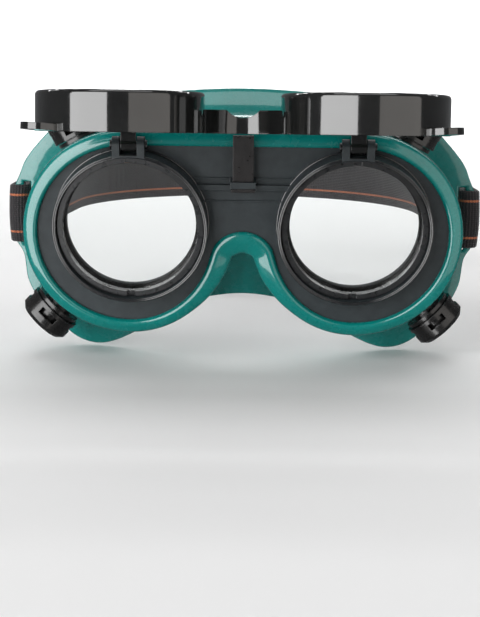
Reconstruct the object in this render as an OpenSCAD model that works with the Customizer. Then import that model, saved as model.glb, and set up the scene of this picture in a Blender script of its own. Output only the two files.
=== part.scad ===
// Lift-front welding goggles with round lenses.
// X runs across the face, -Y points forward and +Z up. The origin is the middle of the
// face seal, level with the middle of the plate. The plate's top leans forward, and the
// lift front is modelled raised.

/* [Lenses] */
// Distance between the two lens axes
lens_pitch = 81; // [80:0.5:83]
// Diameter of every lens
lens_d = 50; // [50:0.1:50.4]
// Thickness of every lens
lens_t = 3; // [2:0.1:3.2]

/* [Front plate] */
// Outer diameter of the lens collars
collar_d = 56; // [55.8:0.1:56.6]
// Height of the collars in front of the plate
collar_h = 8; // [7.8:0.1:8.4]
// Thickness of the plate
plate_t = 2.4; // [2:0.1:2.8]

/* [Goggle body] */
// Depth from the middle of the plate's front face to the face seal
body_depth = 40; // [39:0.5:43]
// Angle by which the plate's top leans forward
plate_tilt = 12; // [10:0.5:13]
// How much further back the seal reaches at the temples
temple_wrap = 15; // [13:0.5:16]
// Wall thickness of the soft body
wall = 2; // [1.8:0.1:2.4]
// Width of the lip that holds the plate
lip_w = 5.6; // [5.2:0.1:5.8]
// Extra width of the lip over the nose
lip_nose = 3.2; // [2:0.1:3.4]

/* [Lift front] */
// Angle through which the lift front is raised
open_angle = 105.6; // [90:0.2:107]
// Depth of the cups
cup_depth = 13.3; // [12.5:0.1:15]

/* [Vents] */
// Diameter of the vent caps
vent_d = 20.5; // [19:0.5:21]
// Height of the vent caps
vent_h = 8.2; // [7:0.2:9]

/* [Headband] */
// Width of the elastic band
band_w = 23; // [20:1:25]
// Thickness of the elastic band
band_t = 1.6; // [1.2:0.1:1.6]
// Radius of the band around the back of the head
band_r = 80; // [76:1:84]

/* [Hidden] */

green = [0.00, 0.46, 0.40];
black = [0.09, 0.10, 0.11];
cloth = [0.12, 0.11, 0.12];
$fn = 96;

gap = 0.3;             // between curved faces of pieces that move apart
cut = 0.1;             // how far a cutting shape reaches past the face that it opens
lens_x = lens_pitch / 2;
collar_r = collar_d / 2;
collar_bore = collar_r - 1.3;
lens_r = lens_d / 2;
pocket_r = lens_r + 0.3;
seat_r = lens_r - 1.5; // clear opening through the plate or cup
gasket_t = 0.8;
ledge_y = 0.8;         // what a clear lens's gasket rests on, behind the plate's front face
ring_h = 3.1;
ring_wall = 2;
notch_w = 3;           // spanner notches in a retaining ring
notch_h = 1;

// Outline of the plate where it leaves the lip: two round lobes, a flat top and a nose arch
lobe_x = lens_x + 0.9;
lobe_z = -4.4;
lobe_r = 33.6;
lobe_cut = 3.4;        // how much smaller the lobes' radius is beside the nose
arch_top = -2.5;
arch_lift = arch_top - lobe_z;
side_r = lobe_r - lobe_cut;
arch_r = (lobe_x * lobe_x + arch_lift * arch_lift - side_r * side_r)
    / (2 * (side_r + arch_lift));
arch_z = arch_top - arch_r;
arch_a = atan2(lobe_z - arch_z, lobe_x);
top_steps = 5;
lobe_steps = 26;
arch_steps = 7;
half_steps = top_steps + lobe_steps + arch_steps;
columns = 2 * half_steps;
plate_grip = 3.2;      // how far the plate reaches into the lip

// Right half of the face seal's outline, from the middle of the brow to the nose
seal = [
    [0, 47.6], [28, 46], [52, 43], [69, 33.5], [79, 17], [82, -2], [81, -20],
    [78, -37], [70, -49.5], [58, -54], [45, -49.5], [28, -39], [13, -32], [0, -29.4],
];
seal_nose = 16;        // how much further forward the seal passes over the nose
lip_back = 6;          // depth of the lip, behind the plate's front face

// Rows of the body's wall, all the way round its section. Each row is
// [blend from the plate's outline to the seal's, distance outside that outline,
//  share of the way from the back of the lip to the seal, millimetres behind that].
section = [
    [0, 0, 0, -0.15], [0, 0.4, 0, -1], [0, 1.7, 0, -1.8], [0, 3.4, 0, -2],
    [0, lip_w - 0.6, 0, -1.6], [0, lip_w, 0, -0.2], [0, lip_w, 0, 1.8],
    [0, lip_w - 0.4, 0, 4.2], [0, 4, 0, 5.6],
    [0.1, 2.8, 0.06, 0], [0.2, 2, 0.2, 0], [0.28, 1.6, 0.42, 0], [0.36, 1.4, 0.6, 0],
    [0.54, 1.2, 0.76, 0], [0.84, 0.8, 0.9, 0], [1, 0.7, 0.96, 0],
    [1, 0, 1, 0], [1, -4, 1, 0.4], [1, -8.5, 1, -0.2], [1, -8.6, 1, -1.8],
    [1, -4, 1, -1.9], [0.84, -1, 0.9, 1.3],
    [0.54, -0.6, 0.76, 1.3], [0.36, -0.5, 0.6, 0.5], [0.28, 1.6 - wall, 0.42, 0],
    [0.2, 2 - wall, 0.2, 0], [0, 1.6, 0, 5.4],
    [0, -1.6, 0, 5.2], [0, -1.6, 0, plate_t + 0.15], [0, plate_grip + 0.2, 0, plate_t + 0.15],
    [0, plate_grip + 0.2, 0, -0.15],
];

hinge_y = -5.4;        // hinge axis, in front of the plate
hinge_z = 31;
pin_r = 1;
pin_fit = 0.05;
knuckle_r = 2.5;
knuckle_w = 5.5;
ear_gap = 6.1;         // between the ears of a clevis
ear_t = 2.7;
ear_r = 2.9;
ear_out = ear_gap / 2 + ear_t;
cup_y = -collar_h - 1.6;   // rear face of the lift front when it is down
cup_r = collar_r;
cup_bore = cup_r - 2;
cup_round = 1.4;
rim_t = 1.6;           // front ledge of a cup
web_t = 2;
web_wall = 8;
web_scoop = 7.3;       // radius of the dip in the middle of the web's walls
web_low = 2;           // ends of the web's arched lower edge, above the lens axes
web_high = 26;
web_arch = 16;         // radius of that arch
tab_angle = -38;       // the finger tabs point outwards and down
tab_lean = 4;          // and lean away from the face
tab_w = 12;
tab_t = 2.2;
tab_reach = 3.8;       // from the cup's wall to the middle of a tab's round end
tongue_w = 7.4;
tongue_t = 1.2;
tongue_y = hinge_y - 0.1;  // front face of the detent tongue
tongue_low = 14.6;
tongue_high = 34.6;
socket_z = 16.6;       // middle of the socket that holds the tongue
socket_h = 2.4;
bar_z = 14.2;          // middle of the bar across the plate
bar_h = 2.2;

vent_hole_r = 6;
vent_tube_r = 5.9;
vent_in = 8;           // how far a vent's tube reaches inwards
cap_r = vent_d / 2;
cap_z = 2.2;
cap_shell = 1.4;
// Where the vent axes pass through the wall, their depth behind the middle of the
// plate's front face, and their angles above the horizontal
vent_low = [70, 24, -34, -46];
vent_high = [60, 17, 29, 62];

lug_x = 87.4;          // the bar that the band loops around
lug_y = -3;
lug_r = 2;
lug_z = band_w / 2 + 0.6;
slot_in = 82.8;        // inner end of the slot beside the bar
band_z = -1;           // middle of the band's height
wing_t = 2.4;
wing_blend = 0.38;     // where the wings leave the wall
// Right wing, as [x, z]
wing_edge = [
    [50, 40], [60, 40.5], [69, 36.5], [75, 31.2], [81.5, 24], [85, 19], [86.8, 14.5],
    [lug_x + lug_r, 13], [lug_x + lug_r, -16], [87, -18], [85.8, -28], [80.5, -36],
    [73, -40], [50, -20],
];
loop_r = lug_r + gap;
band_cy = 110;         // centre of the arc behind the head
band_mid = loop_r + band_t / 2;
lug_reach = norm([lug_x, band_cy - lug_y]);
run_a = acos((band_r - band_mid) / lug_reach) - atan2(band_cy - lug_y, lug_x);
back_steps = 22;
under_gap = 1.6;       // between the band and its returning end
under_y = 13;          // where the returning end comes close to the band
tail_left = 22;
tail_right = 62;
slide_y = 34;          // middle of the slide along the band
slide_l = 13;
slide_bar = 2.6;
slide_t = 1.3;
slide_rim = 2.4;

// ---- outlines ----

function mix(a, b, t) = a + (b - a) * t;
function ease(t) = (1 - cos(180 * max(0, min(1, t)))) / 2;

// Point k of the right half of the plate's outline, from the middle of the top to the nose
function lobe_point(k) =
    k <= top_steps ? [lobe_x * k / top_steps, lobe_z + lobe_r]
    : k <= top_steps + lobe_steps
        ? let (
            a = 90 - (270 - arch_a) * (k - top_steps) / lobe_steps,
            r = lobe_r - lobe_cut * ease(-(a + 90) / 90)
        ) [lobe_x + r * cos(a), lobe_z + r * sin(a)]
        : let (a = arch_a + (90 - arch_a) * (k - top_steps - lobe_steps) / arch_steps)
          [arch_r * cos(a), arch_z + arch_r * sin(a)];

// A smooth curve through the seal's points, at s from 0 to 1
function seal_at(i) = let (n = len(seal) - 1)
    i < 0 ? [-seal[-i][0], seal[-i][1]]
    : i > n ? [-seal[2 * n - i][0], seal[2 * n - i][1]] : seal[i];
function seal_point(s) = let (
        f = s * (len(seal) - 1), i = min(floor(f), len(seal) - 2), t = f - i,
        a = seal_at(i - 1), b = seal_at(i), c = seal_at(i + 1), d = seal_at(i + 2)
    ) 0.5 * (2 * b + (c - a) * t + (2 * a - 5 * b + 4 * c - d) * t * t
        + (3 * b - a - 3 * c + d) * t * t * t);

// Share of the way along the seal's outline that goes with column k
seal_top = 0.2;
seal_lobe = 0.9;
function seal_share(k) =
    k <= top_steps ? seal_top * k / top_steps
    : k <= top_steps + lobe_steps
        ? mix(seal_top, seal_lobe, (k - top_steps) / lobe_steps)
        : mix(seal_lobe, 1, (k - top_steps - lobe_steps) / arch_steps);

// Column k of all the columns, with the left half mirrored
function half_of(k) = k <= half_steps ? k : columns - k;
function side_of(k) = k <= half_steps ? 1 : -1;
function outline(k, u) = let (
        c = (k + columns) % columns, h = half_of(c),
        p = mix(lobe_point(h), seal_point(seal_share(h)), u)
    ) [side_of(c) * p[0], p[1]];
function outward(k, u) = let (d = outline(k + 1, u) - outline(k - 1, u))
    [-d[1], d[0]] / norm(d);
function nose_share(k) = let (x = abs(outline(k, 0)[0]), h = half_of((k + columns) % columns))
    h > half_steps / 2 ? ease((24 - x) / 18) : 0;
function seal_lift(k) = let (p = outline(k, 1), x = abs(p[0]))
    p[1] < 0 ? seal_nose * ease((26 - x) / 26) : 0;
function depth(k) = let (x = outline(k, 1)[0] / 88)
    body_depth + temple_wrap * x * x - seal_lift(k);
function leaning(p) = [
    p[0], p[1] * cos(plate_tilt) - p[2] * sin(plate_tilt),
    p[2] * cos(plate_tilt) + p[1] * sin(plate_tilt),
];
function wall_point(k, row) = let (
        o = row[1] * (1 + (row[0] == 0 && row[1] > 0 && row[2] == 0
            ? nose_share(k) * lip_nose / lip_w : 0)),
        u = mix(row[0], row[2], seal_lift(k) / seal_nose),
        p = outline(k, u) + o * outward(k, u),
        y = (row[2] > 0 ? lip_back : 0) + row[3]
    ) mix(leaning([p[0], y, p[1]]), [p[0], depth(k) + row[3], p[1]], row[2])
        - [0, body_depth, 0];

module body_wall() {
    rows = len(section);
    points = [for (row = section) for (k = [0:columns - 1]) wall_point(k, row)];
    function at(r, k) = (r % rows) * columns + k % columns;
    faces = [
        for (r = [0:rows - 1]) for (k = [0:columns - 1])
        for (f = [[at(r, k), at(r + 1, k), at(r + 1, k + 1)],
            [at(r, k), at(r + 1, k + 1), at(r, k + 1)]]) f
    ];
    polyhedron(points, faces);
}

// ---- placing ----

module at_plate() { translate([0, -body_depth, 0]) rotate([plate_tilt, 0, 0]) children(); }

// Children drawn along +Z come out along -Y, from a lens axis on the plate's front face
module at_lens(side) {
    at_plate() translate([side * lens_x, 0, 0]) rotate([90, 0, 0]) children();
}

module raised() {
    at_plate() translate([0, hinge_y, hinge_z]) rotate([-open_angle, 0, 0])
        translate([0, -hinge_y, -hinge_z]) children();
}

// The same for a cup of the lift front, from its rear face when it is down
module at_cup(side) {
    raised() translate([side * lens_x, cup_y, 0]) rotate([90, 0, 0]) children();
}

module at_vent(place, side) {
    translate([side * place[0], place[1] - body_depth, place[2]])
        rotate([0, side * (90 - place[3]), 0]) children();
}

// At the band's bar, with +Y along the straight run of the band and +X away from the head
module at_lug(side) {
    mirror([side < 0 ? 1 : 0, 0, 0]) translate([lug_x, lug_y, band_z])
        rotate([0, 0, run_a]) children();
}

module tube(r_out, r_in, h) {
    difference() {
        cylinder(r = r_out, h = h);
        translate([0, 0, -cut]) cylinder(r = r_in, h = h + 2 * cut);
    }
}

// ---- body ----

// Rear flange at one side, with the slot and the bar for the band
module wing(side) {
    inner = [for (k = [0:columns - 1]) outline(k, wing_blend) + 0.4 * outward(k, wing_blend)];
    mirror([side < 0 ? 1 : 0, 0, 0]) {
        translate([0, lug_y + wing_t / 2, 0]) rotate([90, 0, 0]) linear_extrude(wing_t)
            difference() {
                polygon(wing_edge);
                polygon(inner);
                translate([slot_in, band_z - lug_z]) square([20, 2 * lug_z]);
            }
        translate([lug_x, lug_y, band_z - lug_z - 1]) cylinder(r = lug_r, h = 2 * lug_z + 2);
    }
}

module goggle_body() {
    color(green) {
        difference() {
            body_wall();
            for (side = [-1, 1], place = [vent_low, vent_high])
                at_vent(place, side) translate([0, 0, -9]) cylinder(r = vent_hole_r, h = 18);
        }
        for (side = [-1, 1]) wing(side);
    }
}

// ---- front plate ----

plate_edge = [for (k = [0:columns - 1]) outline(k, 0) + plate_grip * outward(k, 0)];

module clevis(side) {
    foot_z = collar_r - 2;
    front = hinge_y - ear_r;
    for (x = [-ear_out, ear_gap / 2]) at_plate() translate([side * lens_x + x, 0, 0])
        difference() {
            union() {
                translate([0, hinge_y, hinge_z]) rotate([0, 90, 0]) cylinder(r = ear_r, h = ear_t);
                translate([0, front, foot_z]) cube([ear_t, 2 * ear_r, hinge_z - foot_z]);
                translate([0, front, foot_z]) cube([ear_t, cut - front, 2.4]);
            }
            translate([-cut, hinge_y, hinge_z]) rotate([0, 90, 0])
                cylinder(r = pin_r, h = ear_t + 2 * cut);
        }
    at_plate() translate([side * lens_x - ear_out, front, foot_z])
        cube([2 * ear_out, cut - front, 1.6]);
}

module front_plate() {
    color(black) difference() {
        union() {
            at_plate() rotate([90, 0, 0]) translate([0, 0, -plate_t])
                linear_extrude(plate_t) polygon(plate_edge);
            for (side = [-1, 1]) {
                at_lens(side) translate([0, 0, -plate_t + cut])
                    cylinder(r = collar_r, h = collar_h + plate_t - cut);
                clevis(side);
            }
            // Bar and ribs across the middle, between the collars
            at_plate() {
                translate([-17.5, -1.4, bar_z - bar_h / 2]) cube([35, 1.5, bar_h]);
                for (z = [17.2, 8.6]) translate([-18, -0.5, z]) cube([36, 0.6, 0.6]);
                translate([-tongue_w / 2 - 0.9, tongue_y - 0.8, socket_z - socket_h / 2])
                    cube([tongue_w + 1.8, 0.9 - tongue_y, socket_h]);
            }
        }
        for (side = [-1, 1]) at_lens(side) {
            translate([0, 0, -plate_t - cut]) cylinder(r = seat_r, h = 20);
            translate([0, 0, -ledge_y]) cylinder(r = pocket_r, h = 20);
            translate([0, 0, -ledge_y + gasket_t + lens_t]) cylinder(r = collar_bore, h = 20);
        }
        at_plate() translate([-tongue_w / 2, tongue_y, socket_z - socket_h])
            cube([tongue_w, tongue_t, 2 * socket_h]);
    }
}

module detent_spring() {
    color("dimgray") at_plate() {
        translate([-tongue_w / 2, tongue_y, tongue_low])
            cube([tongue_w, tongue_t, tongue_high - tongue_low]);
        translate([-tongue_w / 2 - 0.6, tongue_y, tongue_low - 0.8])
            cube([tongue_w + 1.2, tongue_t, 1]);
    }
}

// ---- lenses and their rings ----

module lens() { cylinder(r = lens_r, h = lens_t); }

module gasket() { tube(lens_r, seat_r + 0.1, gasket_t); }

module retaining_ring(r) {
    difference() {
        tube(r, r - ring_wall, ring_h);
        for (a = [90, 270]) rotate([0, 0, a])
            translate([r - ring_wall - 1, -notch_w / 2, ring_h - notch_h])
                cube([ring_wall + 2, notch_w, notch_h + cut]);
    }
}

module clear_lens(side) {
    color([0.8, 0.85, 0.85, 0.35]) at_lens(side) translate([0, 0, -ledge_y + gasket_t]) lens();
}

module lens_gasket(side) {
    color("black") at_lens(side) translate([0, 0, -ledge_y]) gasket();
}

module lens_ring(side) {
    color(black) at_lens(side) translate([0, 0, -ledge_y + gasket_t + lens_t + 0.05])
        retaining_ring(collar_bore - gap);
}

shade_z = cup_depth - rim_t - gasket_t - lens_t;   // rear face of a shade lens in its cup

module shade_lens(side) {
    color([0.05, 0.2, 0.1, 0.8]) at_cup(side) translate([0, 0, shade_z]) lens();
}

module shade_gasket(side) {
    color("black") at_cup(side) translate([0, 0, shade_z + lens_t]) gasket();
}

module shade_ring(side) {
    color(black) at_cup(side) translate([0, 0, shade_z - 0.05]) mirror([0, 0, 1])
        retaining_ring(cup_bore - gap);
}

// ---- lift front ----

// Half section of a cup, from its bore outwards
module cup_section() {
    polygon([
        [cup_bore, 0], [cup_r, 0],
        for (a = [0:15:90])
            [cup_r - cup_round + cup_round * cos(a), cup_depth - cup_round + cup_round * sin(a)],
        [seat_r, cup_depth], [seat_r, cup_depth - rim_t], [cup_bore, cup_depth - rim_t],
    ]);
}

module web_plate(height) {
    linear_extrude(height) difference() {
        translate([-lens_x, web_low]) square([lens_pitch, web_high - web_low]);
        for (side = [-1, 1]) translate([side * lens_x, 0]) circle(r = cup_bore + 0.5);
        translate([0, web_low - 4]) circle(r = web_arch);
    }
}

// Drawn with +Z towards the front of the lowered lift front
module web() {
    web_plate(web_t);
    // Walls along the arched lower edge and along the top
    difference() {
        intersection() {
            web_plate(web_wall);
            union() {
                translate([0, web_low - 4]) cylinder(r = web_arch + 1.8, h = web_wall);
                translate([-lens_x, web_high - 1.8, 0]) cube([lens_pitch, 1.8, web_wall]);
            }
        }
        translate([0, 0, web_wall + web_scoop - 2.6]) rotate([-90, 0, 0])
            cylinder(r = web_scoop, h = 2 * web_high);
    }
    // Heel that stands in front of the detent tongue when the front is up
    translate([-tongue_w / 2, web_high - 1, 0]) cube([tongue_w, 4.8, web_t]);
}

module finger_tab(side) {
    rotate([0, 0, side > 0 ? tab_angle : 180 - tab_angle]) translate([cup_r - 1.2, 0, 0])
        rotate([0, -tab_lean, 0]) difference() {
            union() {
                translate([0, -tab_w / 2, 0]) cube([tab_reach, tab_w, tab_t]);
                translate([tab_reach, 0, 0]) cylinder(r = tab_w / 2, h = tab_t);
            }
            translate([tab_reach, 0, 1.2]) cylinder(r = tab_w / 2 - 1.4, h = tab_t);
        }
}

module lift_front() {
    color(black) {
        for (side = [-1, 1]) {
            at_cup(side) {
                rotate_extrude() cup_section();
                difference() {
                    finger_tab(side);
                    translate([0, 0, -tab_t]) cylinder(r = cup_bore + 0.5, h = cup_depth);
                }
            }
            raised() translate([side * lens_x - knuckle_w / 2, 0, 0]) difference() {
                union() {
                    translate([0, hinge_y, hinge_z]) rotate([0, 90, 0])
                        cylinder(r = knuckle_r, h = knuckle_w);
                    translate([0, cup_y - 2.2, hinge_z - 4]) cube([knuckle_w, 2.2, 4.8]);
                    translate([0, cup_y - 0.1, hinge_z - 2.2]) cube([knuckle_w, hinge_y - cup_y, 3]);
                }
                translate([-cut, hinge_y, hinge_z]) rotate([0, 90, 0])
                    cylinder(r = pin_r + pin_fit, h = knuckle_w + 2 * cut);
            }
        }
        raised() translate([0, cup_y, 0]) rotate([90, 0, 0]) web();
    }
}

module hinge_pin(side) {
    color("silver") at_plate() translate([side * lens_x - ear_out, hinge_y, hinge_z])
        rotate([0, 90, 0]) {
            cylinder(r = pin_r, h = 2 * ear_out);
            for (z = [-0.8, 2 * ear_out]) translate([0, 0, z]) cylinder(r = 1.6, h = 0.8);
        }
}

// ---- vents ----

module vent_seat(place, side) {
    color(black) at_vent(place, side) difference() {
        union() {
            translate([0, 0, -vent_in]) cylinder(r = vent_tube_r, h = vent_in + cap_z + 2);
            translate([0, 0, cap_z - 1.7]) cylinder(r = cap_r - 1, h = 1.5);
            translate([0, 0, -vent_in]) cylinder(r1 = vent_tube_r, r2 = vent_tube_r + 1, h = 1.2);
        }
        translate([0, 0, -vent_in - cut]) cylinder(r = vent_tube_r - 1.3, h = 20);
    }
}

module vent_cap(place, side) {
    inner = vent_tube_r + 0.1;
    color(black) at_vent(place, side) translate([0, 0, cap_z]) difference() {
        union() {
            rotate_extrude() polygon([
                [cap_r - cap_shell, 0], [cap_r, 0], [cap_r, vent_h - 1.6], [cap_r - 1.6, vent_h],
                [0, vent_h], [0, vent_h - cap_shell], [cap_r - cap_shell, vent_h - cap_shell],
            ]);
            translate([0, 0, 2]) tube(inner + 1.2, inner, vent_h - 3);
        }
        // Air windows round the side
        for (a = [0:90:270]) rotate([0, 0, a]) translate([cap_r - cap_shell - 1, -3.6, 1.6])
            cube([cap_shell + 2, 7.2, 2.6]);
    }
}

// ---- headband ----

// Middle line of the right half of the band, from its loose end to the back of the head
function at_run(p) = [lug_x, lug_y] + p[0] * [cos(run_a), sin(run_a)]
    + p[1] * [-sin(run_a), cos(run_a)];
function band_half(tail) = let (under = loop_r - under_gap - band_t / 2) [
    at_run([under, tail]), at_run([under, under_y]), at_run([-band_mid, 1.5]),
    for (a = [180:15:360]) at_run(band_mid * [cos(a), sin(a)]),
    for (i = [0:back_steps]) let (a = mix(run_a, 90, i / back_steps))
        [0, band_cy] + band_r * [cos(a), sin(a)],
];
function flip(path) = [for (i = [len(path) - 2:-1:0]) [-path[i][0], path[i][1]]];
function beside(path, off) = let (n = len(path) - 1) [
    for (i = [0:n]) let (d = path[min(i + 1, n)] - path[max(i - 1, 0)])
        path[i] + off * [d[1], -d[0]] / norm(d)
];
function reversed(path) = [for (i = [len(path) - 1:-1:0]) path[i]];

module headband() {
    path = concat(band_half(tail_right), flip(band_half(tail_left)));
    color(cloth) translate([0, 0, band_z - band_w / 2]) linear_extrude(band_w)
        polygon(concat(beside(path, band_t / 2), reversed(beside(path, -band_t / 2))));
}

module headband_slide() {
    under = loop_r - under_gap - band_t;
    over = loop_r + band_t;
    z = band_w / 2 + 0.4;
    thick = over - under + 2 * gap + 2 * slide_t;
    color(black) at_lug(1) translate([0, slide_y - slide_l / 2, 0]) {
        for (s = [-1, 1]) translate([under - gap - slide_t, 0, s > 0 ? z : -z - slide_rim])
            cube([thick, slide_l, slide_rim]);
        for (x = [under - gap - slide_t, over + gap], y = [0, slide_l - slide_bar])
            translate([x, y, -z - cut]) cube([slide_t, slide_bar, 2 * (z + cut)]);
        translate([loop_r - under_gap + gap, slide_l / 2 - slide_bar / 2, -z - cut])
            cube([under_gap - 2 * gap, slide_bar, 2 * (z + cut)]);
    }
}

goggle_body();
front_plate();
detent_spring();
clear_lens(-1);  // clear_lens_left
clear_lens(1);  // clear_lens_right
lens_gasket(-1);  // lens_gasket_left
lens_gasket(1);  // lens_gasket_right
lens_ring(-1);  // lens_ring_left
lens_ring(1);  // lens_ring_right
lift_front();
hinge_pin(-1);  // hinge_pin_left
hinge_pin(1);  // hinge_pin_right
shade_lens(-1);  // shade_lens_left
shade_lens(1);  // shade_lens_right
shade_gasket(-1);  // shade_gasket_left
shade_gasket(1);  // shade_gasket_right
shade_ring(-1);  // shade_ring_left
shade_ring(1);  // shade_ring_right
vent_seat(vent_high, -1);  // vent_seat_upper_left
vent_seat(vent_high, 1);  // vent_seat_upper_right
vent_seat(vent_low, -1);  // vent_seat_lower_left
vent_seat(vent_low, 1);  // vent_seat_lower_right
vent_cap(vent_high, -1);  // vent_cap_upper_left
vent_cap(vent_high, 1);  // vent_cap_upper_right
vent_cap(vent_low, -1);  // vent_cap_lower_left
vent_cap(vent_low, 1);  // vent_cap_lower_right
headband();
headband_slide();
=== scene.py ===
"""Look of the lift-front welding goggles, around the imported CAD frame.

Lengths are in millimetres until they reach a mesh, and then in metres.
X runs across the face, -Y points forward and +Z up.
"""
import math

import bmesh
import bpy
from mathutils import Matrix, Vector


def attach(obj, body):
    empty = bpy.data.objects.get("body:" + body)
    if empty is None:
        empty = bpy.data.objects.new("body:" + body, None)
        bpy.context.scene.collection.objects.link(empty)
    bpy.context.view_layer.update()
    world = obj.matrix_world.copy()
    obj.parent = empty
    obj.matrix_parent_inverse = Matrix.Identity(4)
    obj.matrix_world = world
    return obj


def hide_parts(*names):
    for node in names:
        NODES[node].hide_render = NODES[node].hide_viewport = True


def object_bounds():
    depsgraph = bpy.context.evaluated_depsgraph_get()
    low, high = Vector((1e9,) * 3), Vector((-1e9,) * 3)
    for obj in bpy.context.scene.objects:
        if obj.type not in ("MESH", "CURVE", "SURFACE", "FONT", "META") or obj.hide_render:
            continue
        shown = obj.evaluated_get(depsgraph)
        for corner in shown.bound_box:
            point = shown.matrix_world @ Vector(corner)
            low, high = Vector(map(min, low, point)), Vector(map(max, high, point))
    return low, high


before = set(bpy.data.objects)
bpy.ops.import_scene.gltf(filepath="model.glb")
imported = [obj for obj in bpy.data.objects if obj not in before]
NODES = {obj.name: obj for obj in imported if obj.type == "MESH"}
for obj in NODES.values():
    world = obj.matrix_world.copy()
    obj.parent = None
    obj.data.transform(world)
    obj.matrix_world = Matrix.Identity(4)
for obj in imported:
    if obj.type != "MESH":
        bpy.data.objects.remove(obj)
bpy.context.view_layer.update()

MM = 0.001
SIDES = (("left", -1), ("right", 1))

# ---- sizes shared with the CAD ----

BODY_DEPTH = 40.0
TILT = math.radians(12)
LENS_PITCH = 81.0
PLATE_T = 2.4
PLATE_GRIP = 3.2
WALL = 2.0
LIP_W, LIP_NOSE, LIP_BACK = 5.6, 3.2, 6.0
TEMPLE_WRAP, SEAL_NOSE = 15.0, 16.0
LOBE_X, LOBE_Z, LOBE_R, ARCH_TOP = LENS_PITCH / 2 + 0.9, -4.4, 33.6, -2.5
LOBE_CUT = 3.4          # how much smaller the lobes' radius is beside the nose
# Right half of the face seal, from the middle of the brow to the nose
SEAL = [
    (0, 47.6), (28, 46), (52, 43), (69, 33.5), (79, 17), (82, -2), (81, -20),
    (78, -37), (70, -49.5), (58, -54), (45, -49.5), (28, -39), (13, -32), (0, -29.4),
]
BAND_W, BAND_T, BAND_R, BAND_Z = 23.0, 1.6, 80.0, -1.0
LUG_X, LUG_Y, LUG_R, BAND_CY = 87.4, -3.0, 2.0, 110.0
SLOT_IN, WING_T, WING_BLEND = 82.8, 2.4, 0.38
# Outer edge of the right strap wing, as (x, z) from top to bottom
WING_EDGE = [
    (50, 40), (60, 40.5), (69, 36.5), (75, 31.2), (81.5, 24), (85, 19), (86.8, 14.5),
    (89.2, 8), (89.4, -1.5), (88.9, -11), (85.7, -17), (84.2, -27), (79.8, -35), (73, -39.5),
]


# ---- small helpers ----

def mix(a, b, t):
    return tuple(x + (y - x) * t for x, y in zip(a, b))


def ease(t):
    return (1 - math.cos(math.pi * max(0.0, min(1.0, t)))) / 2


def spline(points, t, ghost):
    """Catmull-Rom through points at t from 0 to len - 1. ghost(i) gives points past the ends."""
    i = min(int(t), len(points) - 2)
    f = t - i
    a, b, c, d = ghost(i - 1), points[i], points[i + 1], ghost(i + 2)
    return tuple(0.5 * (2 * q + (r - p) * f + (2 * p - 5 * q + 4 * r - s) * f * f
                        + (3 * q - p - 3 * r + s) * f ** 3) for p, q, r, s in zip(a, b, c, d))


def new_object(name, verts, faces, body, material, uv=None):
    """A mesh object in metres that rides on a CAD body."""
    mesh = bpy.data.meshes.new(name)
    mesh.from_pydata([Vector(v) * MM for v in verts], [], faces)
    if uv:
        layer = mesh.uv_layers.new(name="along")
        for loop in mesh.loops:
            layer.data[loop.index].uv = uv[loop.vertex_index]
    mesh.materials.append(material)
    bm = bmesh.new()
    bm.from_mesh(mesh)
    bmesh.ops.recalc_face_normals(bm, faces=bm.faces)
    bm.to_mesh(mesh)
    bm.free()
    for polygon in mesh.polygons:
        polygon.use_smooth = True
    obj = bpy.data.objects.new(name, mesh)
    bpy.context.scene.collection.objects.link(obj)
    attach(obj, body)
    return obj


def subdivide(obj, levels):
    modifier = obj.modifiers.new("smooth", "SUBSURF")
    modifier.levels = modifier.render_levels = levels


# ---- materials ----

class Nodes:
    """Short names for building one node material around its Principled shader."""

    def __init__(self, name):
        self.material = bpy.data.materials.new(name)
        self.material.use_nodes = True
        self.tree = self.material.node_tree
        self.shader = self.tree.nodes["Principled BSDF"]
        self.place = self.add("ShaderNodeTexCoord").outputs["Object"]

    def add(self, kind, **settings):
        node = self.tree.nodes.new(kind)
        for key, value in settings.items():
            setattr(node, key, value)
        return node

    def link(self, a, b):
        self.tree.links.new(a, b)

    def noise(self, scale, detail):
        node = self.add("ShaderNodeTexNoise")
        node.inputs["Scale"].default_value = scale
        node.inputs["Detail"].default_value = detail
        node.inputs["Roughness"].default_value = 0.6
        self.link(self.place, node.inputs["Vector"])
        return node.outputs["Fac"]

    def ramp(self, fac, stops):
        node = self.add("ShaderNodeValToRGB")
        elements = node.color_ramp.elements
        while len(elements) < len(stops):
            elements.new(0.5)
        for element, (at, colour) in zip(elements, stops):
            element.position = at
            element.color = (*colour, 1) if len(colour) == 3 else colour
        self.link(fac, node.inputs["Fac"])
        return node.outputs["Color"]

    def spread(self, fac, low, high, start=0.3, end=0.7):
        node = self.add("ShaderNodeMapRange")
        for key, value in (("From Min", start), ("From Max", end), ("To Min", low), ("To Max", high)):
            node.inputs[key].default_value = value
        self.link(fac, node.inputs["Value"])
        return node.outputs["Result"]

    def math(self, operation, a, b=None):
        node = self.add("ShaderNodeMath", operation=operation)
        for socket, value in zip(node.inputs, (a, b)):
            if value is None:
                continue
            if isinstance(value, (int, float)):
                socket.default_value = value
            else:
                self.link(value, socket)
        return node.outputs[0]

    def bump(self, height, distance, strength, normal=None):
        node = self.add("ShaderNodeBump")
        node.inputs["Strength"].default_value = strength
        node.inputs["Distance"].default_value = distance
        self.link(height, node.inputs["Height"])
        if normal:
            self.link(normal, node.inputs["Normal"])
        self.link(node.outputs["Normal"], self.shader.inputs["Normal"])
        return node.outputs["Normal"]

    def bevel(self, radius):
        node = self.add("ShaderNodeBevel", samples=6)
        node.inputs["Radius"].default_value = radius
        self.link(node.outputs["Normal"], self.shader.inputs["Normal"])
        return node.outputs["Normal"]

    def set(self, **values):
        for key, value in values.items():
            self.shader.inputs[key.replace("_", " ")].default_value = value


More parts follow.
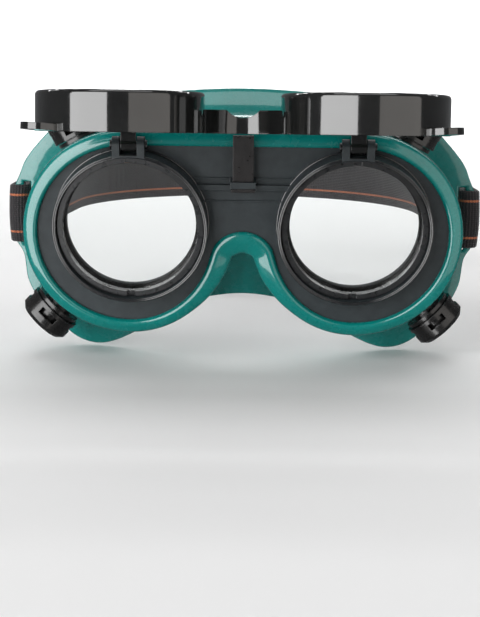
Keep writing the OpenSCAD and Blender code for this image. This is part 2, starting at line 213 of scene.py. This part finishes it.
def vinyl():
    """Glossy dyed PVC with faint flow marks and an almost smooth skin."""
    n = Nodes("green_vinyl")
    cloudy = n.noise(34, 3)
    n.link(n.ramp(cloudy, [(0.3, (0.0, 0.165, 0.148)), (0.7, (0.0, 0.198, 0.178))]),
           n.shader.inputs["Base Color"])
    n.link(n.spread(n.noise(260, 5), 0.22, 0.32), n.shader.inputs["Roughness"])
    n.set(IOR=1.5, Specular_IOR_Level=0.3, Coat_Weight=0.9, Coat_Roughness=0.045)
    n.bump(n.noise(420, 2), 0.00005, 0.5)
    return n.material


def moulded(name, dark, light, rough, bump, scale, coat=0.0, edge=0.00035):
    """Moulded thermoplastic: grain, handling marks and edges that catch the light."""
    n = Nodes(name)
    n.link(n.ramp(n.noise(scale * 0.12, 5), [(0.3, dark), (0.7, light)]),
           n.shader.inputs["Base Color"])
    n.link(n.spread(n.noise(scale * 0.3, 6), *rough), n.shader.inputs["Roughness"])
    n.set(IOR=1.5, Specular_IOR_Level=0.4, Coat_Weight=coat, Coat_Roughness=0.04)
    rounded = n.bevel(edge)
    n.bump(n.noise(scale, 3), bump, 0.6, rounded)
    return n.material


def glass(name, dark, light):
    """Polished lens."""
    n = Nodes(name)
    n.link(n.ramp(n.noise(25, 2), [(0.2, dark), (0.8, light)]), n.shader.inputs["Base Color"])
    n.link(n.spread(n.noise(160, 4), 0.0, 0.02), n.shader.inputs["Roughness"])
    n.set(IOR=1.5, Transmission_Weight=1.0)
    return n.material


def steel():
    """Blackened steel of the hinge pins."""
    n = Nodes("pin_steel")
    n.link(n.ramp(n.noise(700, 4), [(0.3, (0.05, 0.05, 0.052)), (0.7, (0.09, 0.09, 0.092))]),
           n.shader.inputs["Base Color"])
    n.link(n.spread(n.noise(900, 4), 0.3, 0.45), n.shader.inputs["Roughness"])
    n.set(Metallic=1.0)
    n.bump(n.noise(1500, 3), 0.00003, 0.5, n.bevel(0.0002))
    return n.material


def elastic():
    """Ribbed elastic band: fine ribs across, cords along, and two thin woven stripes."""
    rib_pitch, cord_pitch, stripe_z, stripe_half = 0.95, 0.8, 7.4, 0.42
    n = Nodes("band_elastic")
    split = n.add("ShaderNodeSeparateXYZ")
    n.link(n.add("ShaderNodeUVMap", uv_map="along").outputs["UV"], split.inputs[0])
    along, across = split.outputs["X"], split.outputs["Y"]
    rib = n.math("SINE", n.math("MULTIPLY", along, 2 * math.pi / rib_pitch))
    cord = n.math("SINE", n.math("MULTIPLY", across, 2 * math.pi / cord_pitch))
    weave = n.math("ADD", n.math("MULTIPLY", rib, 0.6), n.math("MULTIPLY", cord, 0.4))
    worn = n.noise(420, 5)
    base = n.ramp(n.math("ADD", n.math("MULTIPLY", weave, 0.18), worn),
                  [(0.3, (0.008, 0.007, 0.009)), (0.75, (0.030, 0.024, 0.026))])
    off = n.math("ABSOLUTE", n.math("SUBTRACT", n.math("ABSOLUTE", across), stripe_z))
    stripe = n.math("LESS_THAN", n.math("ADD", off, n.math("MULTIPLY", rib, 0.08)), stripe_half)
    tint = n.add("ShaderNodeMix", data_type="RGBA")
    n.link(stripe, tint.inputs["Factor"])
    n.link(base, tint.inputs["A"])
    n.link(n.ramp(worn, [(0.3, (0.30, 0.075, 0.03)), (0.7, (0.50, 0.16, 0.07))]), tint.inputs["B"])
    n.link(tint.outputs["Result"], n.shader.inputs["Base Color"])
    n.link(n.spread(worn, 0.62, 0.85), n.shader.inputs["Roughness"])
    n.set(Sheen_Weight=0.25, Sheen_Roughness=0.4)
    n.bump(n.math("ADD", weave, n.math("MULTIPLY", worn, 0.5)), 0.00016, 0.9)
    return n.material


def thread():
    """Black sewing thread."""
    n = Nodes("band_thread")
    n.link(n.ramp(n.noise(1800, 3), [(0.3, (0.021, 0.018, 0.018)), (0.7, (0.035, 0.03, 0.03))]),
           n.shader.inputs["Base Color"])
    n.set(Roughness=0.7, Sheen_Weight=0.3)
    n.bump(n.noise(2600, 2), 0.00005, 0.8)
    return n.material


GREEN = vinyl()
PLATE = moulded("plate_satin_black", (0.018, 0.024, 0.027), (0.028, 0.036, 0.040),
                (0.38, 0.5), 0.00005, 1800)
LIFT = moulded("lift_gloss_black", (0.006, 0.0062, 0.0062), (0.012, 0.0125, 0.012),
               (0.07, 0.14), 0.00001, 500, coat=1.0, edge=0.0005)
RING = moulded("ring_semi_gloss", (0.012, 0.013, 0.014), (0.022, 0.023, 0.025),
               (0.24, 0.36), 0.000008, 1300, coat=0.2, edge=0.0003)
BEAD = moulded("collar_bead_gloss", (0.012, 0.013, 0.014), (0.020, 0.021, 0.023),
               (0.14, 0.22), 0.000006, 1300, coat=0.7, edge=0.0001)
VENT = moulded("vent_semi_gloss", (0.006, 0.006, 0.006), (0.012, 0.011, 0.011),
               (0.2, 0.34), 0.00003, 900, coat=0.3, edge=0.0005)
TONGUE = moulded("tongue_satin", (0.008, 0.007, 0.007), (0.015, 0.013, 0.013),
                 (0.25, 0.4), 0.00003, 1600)
RUBBER = moulded("gasket_rubber", (0.012, 0.012, 0.012), (0.022, 0.022, 0.021),
                 (0.6, 0.75), 0.00004, 1500)
CLEAR = glass("clear_polished", (0.93, 0.955, 0.95), (0.96, 0.98, 0.975))
SHADE = glass("shade_green", (0.02, 0.09, 0.045), (0.03, 0.12, 0.06))
STEEL = steel()
BAND = elastic()
STITCH = thread()

# The finish of every CAD node, by the start of its name
FINISH = {
    "front_plate": PLATE, "detent_spring": TONGUE, "lens_gasket": RUBBER, "shade_gasket": RUBBER,
    "lens_ring": RING, "shade_ring": RING, "lift_front": LIFT, "hinge_pin": STEEL,
    "clear_lens": CLEAR, "shade_lens": SHADE, "vent_seat": VENT, "vent_cap": VENT,
    "headband_slide": RING, "goggle_body": GREEN, "headband": BAND,
}
for name, obj in NODES.items():
    start = next(k for k in FINISH if name.startswith(k))
    obj.data.materials.clear()
    obj.data.materials.append(FINISH[start])


# ---- green body ----

ARCH_LIFT = ARCH_TOP - LOBE_Z
SIDE_R = LOBE_R - LOBE_CUT
ARCH_R = (LOBE_X ** 2 + ARCH_LIFT ** 2 - SIDE_R ** 2) / (2 * (SIDE_R + ARCH_LIFT))
ARCH_Z = ARCH_TOP - ARCH_R
ARCH_A = math.atan2(LOBE_Z - ARCH_Z, LOBE_X)
TOP, LOBE, ARCH = 5, 26, 7     # columns along the flat top, a lobe and half of the nose arch
HALF = TOP + LOBE + ARCH
COLUMNS = 2 * HALF
SEAL_TOP, SEAL_LOBE = 0.2, 0.9     # shares of the seal where the top and the lobe end


def lobe_point(k):
    """Point k of the right half of the plate's outline, where it leaves the lip."""
    if k <= TOP:
        return (LOBE_X * k / TOP, LOBE_Z + LOBE_R)
    if k <= TOP + LOBE:
        a = math.pi / 2 - (1.5 * math.pi - ARCH_A) * (k - TOP) / LOBE
        r = LOBE_R - LOBE_CUT * ease(-(a / (math.pi / 2) + 1))
        return (LOBE_X + r * math.cos(a), LOBE_Z + r * math.sin(a))
    a = ARCH_A + (math.pi / 2 - ARCH_A) * (k - TOP - LOBE) / ARCH
    return (ARCH_R * math.cos(a), ARCH_Z + ARCH_R * math.sin(a))


def seal_ghost(i):
    """The seal's points past its ends, mirrored."""
    last = len(SEAL) - 1
    if i < 0:
        return (-SEAL[-i][0], SEAL[-i][1])
    return SEAL[i] if i <= last else (-SEAL[2 * last - i][0], SEAL[2 * last - i][1])


def seal_point(k):
    """The point of the seal that goes with column k."""
    if k <= TOP:
        s = SEAL_TOP * k / TOP
    elif k <= TOP + LOBE:
        s = SEAL_TOP + (SEAL_LOBE - SEAL_TOP) * (k - TOP) / LOBE
    else:
        s = SEAL_LOBE + (1 - SEAL_LOBE) * (k - TOP - LOBE) / ARCH
    return spline(SEAL, s * (len(SEAL) - 1), seal_ghost)


def outline(k, u):
    """Column k of the plate's outline (u = 0), of the seal's (u = 1), or between them."""
    k %= COLUMNS
    h, side = (k, 1) if k <= HALF else (COLUMNS - k, -1)
    p = mix(lobe_point(h), seal_point(h), u)
    return (side * p[0], p[1])


def outward(k, u):
    """Unit vector out of the outline at column k."""
    a, b = outline(k - 1, u), outline(k + 1, u)
    d = Vector((b[0] - a[0], b[1] - a[1])).normalized()
    return (-d.y, d.x)


def nose_share(k):
    """1 over the nose and 0 away from it, for the wider lip there."""
    k %= COLUMNS
    h = k if k <= HALF else COLUMNS - k
    return ease((24 - abs(outline(k, 0)[0])) / 18) if h > HALF / 2 else 0.0


def seal_lift(k):
    """How much of SEAL_NOSE the seal comes forward by at column k."""
    x, z = outline(k, 1)
    return ease((26 - abs(x)) / 26) if z < 0 else 0.0


def seal_depth(k):
    return (BODY_DEPTH + TEMPLE_WRAP * (outline(k, 1)[0] / 88) ** 2
            - SEAL_NOSE * seal_lift(k))


def leaning(x, y, z):
    """From the plate's own upright frame to the object's."""
    return (x, y * math.cos(TILT) - z * math.sin(TILT), z * math.cos(TILT) + y * math.sin(TILT))


def wall_point(k, u, off, share, back):
    """One point of the body's wall, from its column and its row of SECTION."""
    if u == 0 and off > 0 and share == 0:
        off *= 1 + nose_share(k) * LIP_NOSE / LIP_W
    u += (share - u) * seal_lift(k)
    x, z = (a + off * b for a, b in zip(outline(k, u), outward(k, u)))
    y = (LIP_BACK if share > 0 else 0) + back
    p = mix(leaning(x, y, z), (x, seal_depth(k) + back, z), share)
    return (p[0], p[1] - BODY_DEPTH, p[2])


# The rows of the CAD wall, with more of them round the lip and the flange's edge. Each is
# (blend from the plate's outline to the seal's, distance outside it,
#  share of the way from the back of the lip to the seal, millimetres behind that).
SECTION = [
    (0, 0, 0, 0.2), (0, 0.1, 0, -0.9), (0, 0.5, 0, -1.75), (0, 1.3, 0, -2.1),
    (0, 2.4, 0, -1.95), (0, 3.6, 0, -1.45), (0, LIP_W - 0.9, 0, -0.95), (0, LIP_W - 0.2, 0, -0.2),
    (0, LIP_W, 0, 0.8), (0, LIP_W, 0, 2.4), (0, LIP_W - 0.2, 0, 3.8), (0, LIP_W - 0.7, 0, 4.8),
    (0, 4.1, 0, 5.6), (0.09, 2.9, 0.05, 0), (0.19, 2.05, 0.18, 0), (0.26, 1.65, 0.36, 0),
    (0.31, 1.5, 0.5, 0), (0.38, 1.4, 0.63, 0), (0.54, 1.2, 0.76, 0), (0.74, 1, 0.85, 0),
    (0.92, 0.8, 0.93, 0), (1, 0.7, 0.97, 0), (1, 0.2, 1, 0), (1, -1.2, 1, 0.2),
    (1, -4, 1, 0.4), (1, -7, 1, 0.1), (1, -8.4, 1, -0.3), (1, -8.7, 1, -1), (1, -8.2, 1, -1.7),
    (1, -4, 1, -1.9), (0.84, -1, 0.9, 1.3), (0.54, -0.6, 0.76, 1.3), (0.36, -0.5, 0.6, 0.5),
    (0.28, 1.6 - WALL, 0.42, 0), (0.2, 2 - WALL, 0.2, 0), (0, 1.6, 0, 5.4), (0, 0.2, 0, 5.5),
    (0, -1.4, 0, 5.0), (0, -1.6, 0, 4.2), (0, -1.6, 0, PLATE_T + 0.4),
    (0, -1.2, 0, PLATE_T + 0.2), (0, PLATE_GRIP + 0.2, 0, PLATE_T + 0.2),
    (0, PLATE_GRIP + 0.2, 0, 0.1), (0, 0.9, 0, 0.1),
]


def make_body():
    """The vinyl body, as one smooth closed wall."""
    rows = len(SECTION)
    verts = [wall_point(k, *row) for row in SECTION for k in range(COLUMNS)]
    faces = [
        (r * COLUMNS + k, ((r + 1) % rows) * COLUMNS + k,
         ((r + 1) % rows) * COLUMNS + (k + 1) % COLUMNS, r * COLUMNS + (k + 1) % COLUMNS)
        for r in range(rows) for k in range(COLUMNS)
    ]
    body = new_object("vinyl_body", verts, faces, "frame", GREEN)
    subdivide(body, 2)
    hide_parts("goggle_body")
    return body


def flat_shape(name, loops, thick, round_off, place, body, material):
    """A flat plate with holes and rounded edges, from closed loops of (x, z) points."""
    curve = bpy.data.curves.new(name, "CURVE")
    curve.dimensions, curve.fill_mode = "2D", "BOTH"
    curve.extrude = (thick / 2 - round_off) * MM
    curve.bevel_depth, curve.bevel_resolution = round_off * MM, 3
    curve.offset = -round_off * MM
    for points in loops:
        line = curve.splines.new("POLY")
        line.points.add(len(points) - 1)
        for point, (x, z) in zip(line.points, points):
            point.co = (x * MM, z * MM, 0, 1)
        line.use_cyclic_u = True
    maker = bpy.data.objects.new(name + "_maker", curve)
    bpy.context.scene.collection.objects.link(maker)
    bpy.context.view_layer.update()
    graph = bpy.context.evaluated_depsgraph_get()
    mesh = bpy.data.meshes.new_from_object(maker.evaluated_get(graph))
    bpy.data.objects.remove(maker)
    mesh.transform(place)
    mesh.materials.clear()
    mesh.materials.append(material)
    bm = bmesh.new()
    bm.from_mesh(mesh)
    bmesh.ops.remove_doubles(bm, verts=bm.verts, dist=1e-7)
    bmesh.ops.recalc_face_normals(bm, faces=bm.faces)
    for face in bm.faces:
        face.smooth = True
    for edge in bm.edges:
        edge.smooth = len(edge.link_faces) != 2 or edge.calc_face_angle(0) < math.radians(35)
    bm.to_mesh(mesh)
    bm.free()
    obj = bpy.data.objects.new(name, mesh)
    bpy.context.scene.collection.objects.link(obj)
    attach(obj, body)
    return obj


def make_wing(side_name, side):
    """Rear flange at one side, with the slot that the band loops through."""
    last = len(WING_EDGE) - 1
    inset = 0.3         # how far the wing stands off the wall's outline at its root

    def clamp(i):
        return WING_EDGE[max(0, min(last, i))]

    outer = [spline(WING_EDGE, i / 6, clamp) for i in range(last * 6 + 1)]
    inner = [tuple(a + inset * b for a, b in zip(outline(k, WING_BLEND), outward(k, WING_BLEND)))
             for k in range(HALF)]
    inner = [p for p in inner if p[0] > 56 and -35 < p[1] < 33]
    half_slot = BAND_W / 2 + 0.6
    slot_x = LUG_X - LUG_R
    hole = [(SLOT_IN, BAND_Z - half_slot), (slot_x, BAND_Z - half_slot),
            (slot_x, BAND_Z + half_slot), (SLOT_IN, BAND_Z + half_slot)]
    place = Matrix(((side, 0, 0, 0), (0, 0, 1, LUG_Y * MM), (0, 1, 0, 0), (0, 0, 0, 1)))
    return flat_shape(f"strap_wing_{side_name}", [outer + inner[::-1], hole], WING_T, 0.7, place,
                      "frame", GREEN)


make_body()
for side_name, side in SIDES:
    make_wing(side_name, side)


# ---- collar rims ----

def make_bead(name, side, radius, thick, ahead):
    """A fine raised line around the front of a lens collar."""
    verts, faces, around, about = [], [], 144, 10
    for i in range(around):
        a = 2 * math.pi * i / around
        for j in range(about):
            b = 2 * math.pi * j / about
            rad = radius + thick * math.cos(b)
            verts.append(leaning(side * LENS_PITCH / 2 + rad * math.cos(a),
                                 -ahead - thick * math.sin(b), rad * math.sin(a)))
            faces.append((i * about + j, i * about + (j + 1) % about,
                          (i + 1) % around * about + (j + 1) % about, (i + 1) % around * about + j))
    verts = [(x, y - BODY_DEPTH, z) for x, y, z in verts]
    new_object(name, verts, faces, "frame", BEAD)


COLLAR_R, COLLAR_FRONT = 28.0, 8.0
for side_name, side in SIDES:
    make_bead(f"collar_rim_outer_{side_name}", side, COLLAR_R - 0.4, 0.45, COLLAR_FRONT - 0.15)
    make_bead(f"collar_rim_inner_{side_name}", side, COLLAR_R - 1, 0.35, COLLAR_FRONT)
    make_bead(f"collar_foot_{side_name}", side, COLLAR_R, 0.4, 0.1)


# ---- headband ----

LOOP_R = LUG_R + 0.3
BAND_MID = LOOP_R + BAND_T / 2
REACH = math.hypot(LUG_X, BAND_CY - LUG_Y)
RUN_A = math.acos((BAND_R - BAND_MID) / REACH) - math.atan2(BAND_CY - LUG_Y, LUG_X)
UNDER_GAP, UNDER_Y, TAIL_LEFT, TAIL_RIGHT = 1.6, 13.0, 22.0, 62.0
# The band's edges are pulled in where it loops around the bar, more so at the lower edge
GATHER_REACH, GATHER_TOP, GATHER_LOW, GATHER_NARROWS = 12.0, 0.56, 0.91, 0.05


def at_run(p, q):
    """A point p outwards of the bar and q along the band's straight run, on the right."""
    c, s = math.cos(RUN_A), math.sin(RUN_A)
    return (LUG_X + p * c - q * s, LUG_Y + p * s + q * c)


def band_half(tail):
    """Middle line of the right half of the band, from its loose end to the back of the head."""
    under = LOOP_R - UNDER_GAP - BAND_T / 2
    points = [at_run(under, tail - (tail - UNDER_Y) * i / 12) for i in range(13)]
    points += [at_run(-BAND_MID, 1.5)]
    points += [at_run(BAND_MID * math.cos(a), BAND_MID * math.sin(a))
               for a in (math.radians(180 + 12 * i) for i in range(16))]
    points += [at_run(BAND_MID, 6 + 9 * i) for i in range(11)]
    for i in range(41):
        a = RUN_A + (math.pi / 2 - RUN_A) * i / 40
        points.append((BAND_R * math.cos(a), BAND_CY + BAND_R * math.sin(a)))
    return points


def make_band():
    """The elastic band, swept along its middle line, with its length and height as UVs."""
    right, left = band_half(TAIL_RIGHT), band_half(TAIL_LEFT)
    path = right + [(-x, y) for x, y in left[-2::-1]]
    half_w, half_t, soft = BAND_W / 2, BAND_T / 2, 0.5
    ring = [(half_t, -half_w + soft), (half_t, half_w - soft), (half_t - soft, half_w),
            (soft - half_t, half_w), (-half_t, half_w - soft), (-half_t, -half_w + soft),
            (soft - half_t, -half_w), (half_t - soft, -half_w)]
    fine = []
    for (a, b), (c, d) in zip(ring, ring[1:] + ring[:1]):
        steps = 10 if abs(d - b) > 5 else 1
        fine += [(a + (c - a) * i / steps, b + (d - b) * i / steps) for i in range(steps)]
    verts, uv, along = [], [], 0.0
    for i, (x, y) in enumerate(path):
        a, b = path[max(i - 1, 0)], path[min(i + 1, len(path) - 1)]
        d = Vector((b[0] - a[0], b[1] - a[1])).normalized()
        if i:
            along += math.dist(path[i - 1], path[i])
        near = max(0.0, 1 - math.hypot(abs(x) - LUG_X, y - LUG_Y) / GATHER_REACH)
        for off, z in fine:
            v = z / half_w
            pull = near * (GATHER_TOP * max(0.0, v) ** 2 + GATHER_LOW * max(0.0, -v) ** 2)
            verts.append((x - math.copysign(pull, x) + off * d.y, y - off * d.x,
                          BAND_Z + z * (1 - GATHER_NARROWS * near)))
            uv.append((along, z))
    count = len(fine)
    faces = [(r * count + k, r * count + (k + 1) % count, (r + 1) * count + (k + 1) % count,
              (r + 1) * count + k) for r in range(len(path) - 1) for k in range(count)]
    faces += [tuple(range(count)), tuple((len(path) - 1) * count + k for k in range(count))]
    band = new_object("elastic_band", verts, faces, "frame", BAND, uv)
    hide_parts("headband")
    return band


def make_stitches(side_name, side):
    """A sewn box with a cross through both layers of the band."""
    outer, thread_r, pitch = LOOP_R + BAND_T + 0.05, 0.22, 2.4
    start, end, half = 9.0, 18.0, 9.5
    curve = bpy.data.curves.new(f"stitches_{side_name}", "CURVE")
    curve.dimensions, curve.bevel_depth, curve.bevel_resolution = "3D", thread_r * MM, 2
    corners = [(start, -half), (end, -half), (end, half), (start, half)]
    runs = list(zip(corners, corners[1:] + corners[:1])) + [(corners[0], corners[2]),
                                                           (corners[1], corners[3])]
    for (a, b), (c, d) in runs:
        count = max(2, round(math.dist((a, b), (c, d)) / pitch))
        for i in range(count):
            line = curve.splines.new("POLY")
            line.points.add(2)
            for point, f, lift in zip(line.points, (0.12, 0.5, 0.88), (-0.12, 0.1, -0.12)):
                t = (i + f) / count
                x, y = at_run(outer + lift, a + (c - a) * t)
                point.co = (side * x * MM, y * MM, (BAND_Z + b + (d - b) * t) * MM, 1)
    curve.materials.append(STITCH)
    obj = bpy.data.objects.new(f"band_stitches_{side_name}", curve)
    bpy.context.scene.collection.objects.link(obj)
    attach(obj, "frame")


make_band()
make_stitches("left", -1)


# ---- camera ----

VIEW_DISTANCE = 523.8
VIEW_HEIGHT = math.radians(19.26)      # above the plate's normal
VIEW_SIDE = math.radians(0.69)
VIEW_DOWN = math.radians(-3.015)       # turned down from the middle between the collars
VIEW_TURN = math.radians(-0.063)
VIEW_ROLL = math.radians(0.60)
FOCAL_PER_HEIGHT = 2.36386        # focal length over the height of the frame


def make_camera():
    """A camera half a metre away, a little above the plate's normal."""
    lean = Matrix.Rotation(TILT, 3, "X")
    target = Vector((0, -COLLAR_FRONT, 0))
    eye = target + VIEW_DISTANCE * Vector((
        math.sin(VIEW_SIDE) * math.cos(VIEW_HEIGHT),
        -math.cos(VIEW_SIDE) * math.cos(VIEW_HEIGHT), math.sin(VIEW_HEIGHT)))
    look = (target - eye).normalized()
    right = look.cross(Vector((0, 0, 1))).normalized()
    up = right.cross(look)
    look = (look + math.tan(VIEW_TURN) * right + math.tan(VIEW_DOWN) * up).normalized()
    right = look.cross(up).normalized()
    up = right.cross(look)
    turned = right * math.cos(VIEW_ROLL) + up * math.sin(VIEW_ROLL)
    up = up * math.cos(VIEW_ROLL) - right * math.sin(VIEW_ROLL)
    axes = lean @ Matrix((turned, up, -look)).transposed()
    spot = (lean @ eye + Vector((0, -BODY_DEPTH, 0))) * MM
    data = bpy.data.cameras.new("view")
    data.sensor_fit, data.sensor_height = "VERTICAL", 24.0
    data.lens = data.sensor_height * FOCAL_PER_HEIGHT
    data.clip_start, data.clip_end = 0.01, 20
    camera = bpy.data.objects.new("view", data)
    camera.matrix_world = Matrix.Translation(spot) @ axes.to_4x4()
    bpy.context.scene.collection.objects.link(camera)
    bpy.context.scene.camera = camera


make_camera()


# ---- floor and light ----

def make_backdrop():
    """A pale floor that curves up into a wall."""
    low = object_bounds()[0][2] - 0.0005
    wide, front, bend, high = 6.0, -6.0, 1.2, 5.0
    profile = [(front, 0.0), (2.0, 0.0)]
    for i in range(1, 13):
        a = math.radians(7.5 * i)
        profile.append((2.0 + bend * math.sin(a), bend * (1 - math.cos(a))))
    profile.append((2.0 + bend, high))
    verts = [(x, y, low + z) for y, z in profile for x in (-wide, wide)]
    faces = [(2 * i, 2 * i + 1, 2 * i + 3, 2 * i + 2) for i in range(len(profile) - 1)]
    mesh = bpy.data.meshes.new("backdrop")
    mesh.from_pydata(verts, [], faces)
    for polygon in mesh.polygons:
        polygon.use_smooth = True
    backdrop = bpy.data.objects.new("backdrop", mesh)
    bpy.context.scene.collection.objects.link(backdrop)
    n = Nodes("backdrop_pale")
    n.link(n.ramp(n.noise(3, 2), [(0.2, (0.88, 0.88, 0.88)), (0.8, (0.92, 0.92, 0.92))]),
           n.shader.inputs["Base Color"])
    n.set(Roughness=0.95, Specular_IOR_Level=0.1)
    mesh.materials.append(n.material)
    # Left out of reflections, where the softboxes go on below the floor's level
    backdrop.visible_glossy = False


def area_light(name, azimuth, elevation, distance, size, radiance, colour=(1, 1, 1), aim=(0, 0, 0)):
    """A softbox that faces a point. Azimuth 0 is in front, and grows to +X."""
    a, e = math.radians(azimuth), math.radians(elevation)
    data = bpy.data.lights.new(name, "AREA")
    data.shape = "RECTANGLE"
    data.size, data.size_y = size
    data.energy, data.color = radiance * math.pi * size[0] * size[1], colour
    light = bpy.data.objects.new(name, data)
    spot = Vector((math.sin(a) * math.cos(e), -math.cos(a) * math.cos(e), math.sin(e))) * distance
    light.location = spot + Vector(aim)
    light.rotation_euler = (-spot).to_track_quat("-Z", "Y").to_euler()
    bpy.context.scene.collection.objects.link(light)


world = bpy.data.worlds.new("studio")
world.use_nodes = True
world.node_tree.nodes["Background"].inputs["Color"].default_value = (0.95, 0.97, 1.0, 1)
world.node_tree.nodes["Background"].inputs["Strength"].default_value = 0.12
bpy.context.scene.world = world
bpy.context.scene.view_settings.view_transform = "Standard"
make_backdrop()
area_light("key_left", -38, -5, 2.4, (2.3, 3.5), 6.4)
area_light("fill_right", 44, -5, 2.4, (2.7, 3.5), 1.2, (1.0, 0.95, 0.9))
area_light("top", 0, 84, 2.6, (2.4, 1.4), 2.0)
area_light("wall_wash", 0, 62, 1.5, (5.0, 0.8), 7.5, aim=(0, 2.6, 0.4))
